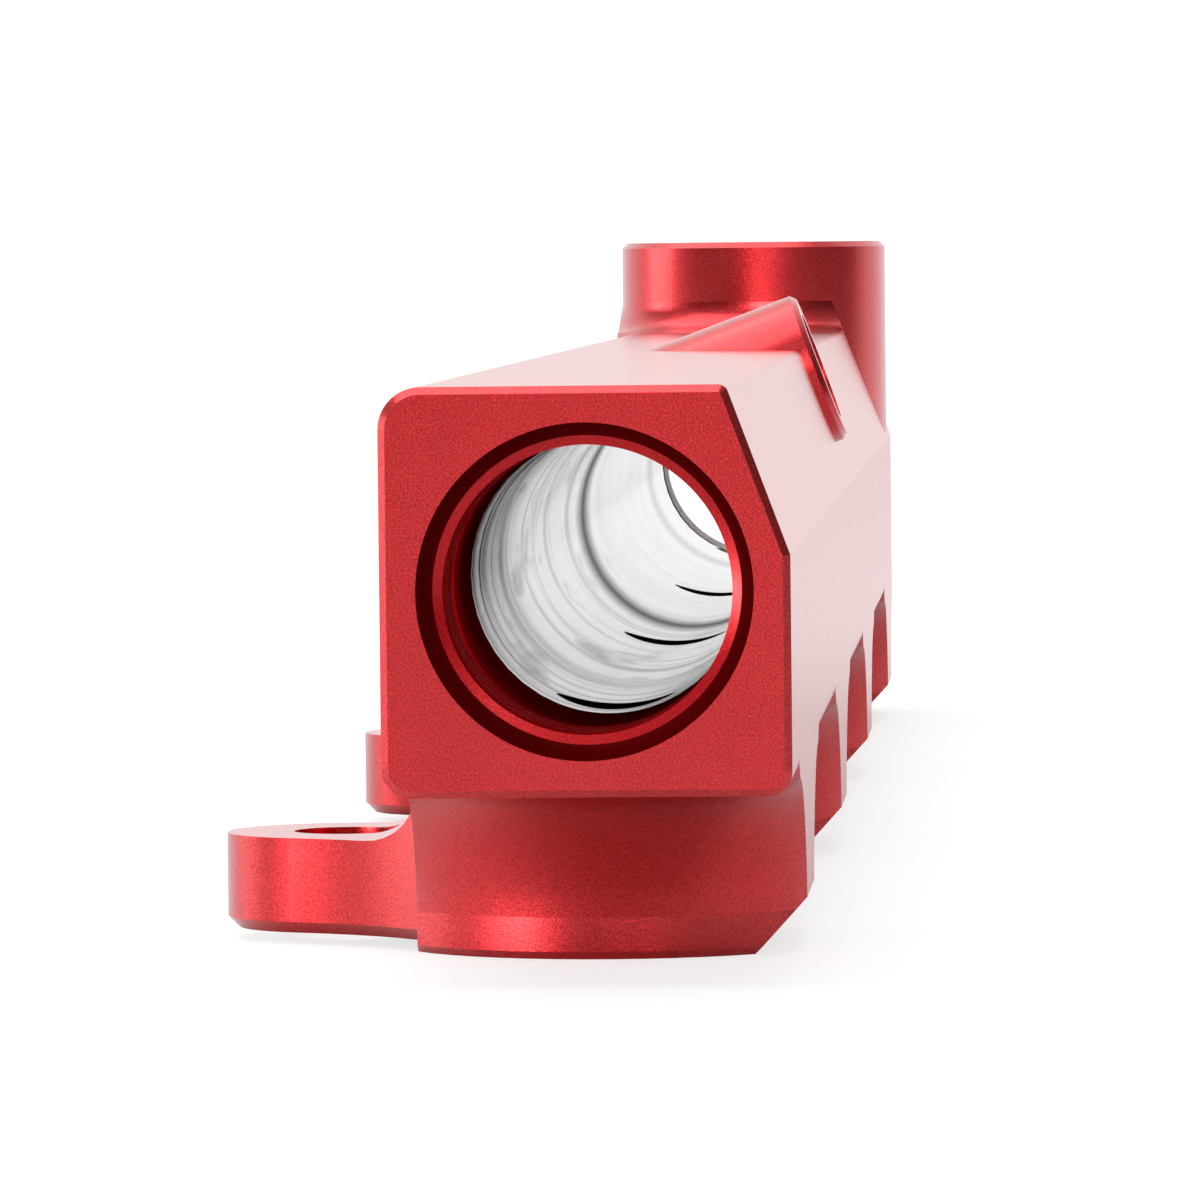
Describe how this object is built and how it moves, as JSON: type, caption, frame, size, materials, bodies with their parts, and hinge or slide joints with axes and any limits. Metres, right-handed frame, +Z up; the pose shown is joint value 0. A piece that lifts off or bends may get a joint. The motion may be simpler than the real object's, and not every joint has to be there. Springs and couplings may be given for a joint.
{
  "type": "fuel rail",
  "caption": "Billet aluminium fuel rail: bevelled square bar with a through bore, O-ring ports, a regulator tower, injector bosses with cups, and bolt-down ears.",
  "frame": {"origin": "on the fuel bore's axis, at the front end face", "axes": "+Y along the rail from the front end to the rear, +Z up with the injector bosses hanging down, +X toward the bevelled side; the ears stand out to -X"},
  "size_m": [0.0385, 0.3233, 0.045],
  "materials": {
    "red_anodise": "satin red anodise over a fine bead blast; the bore is bare beyond its mouth"
  },
  "bodies": {
    "root": {"rail_body": "red_anodise"}
  },
  "joints": []
}
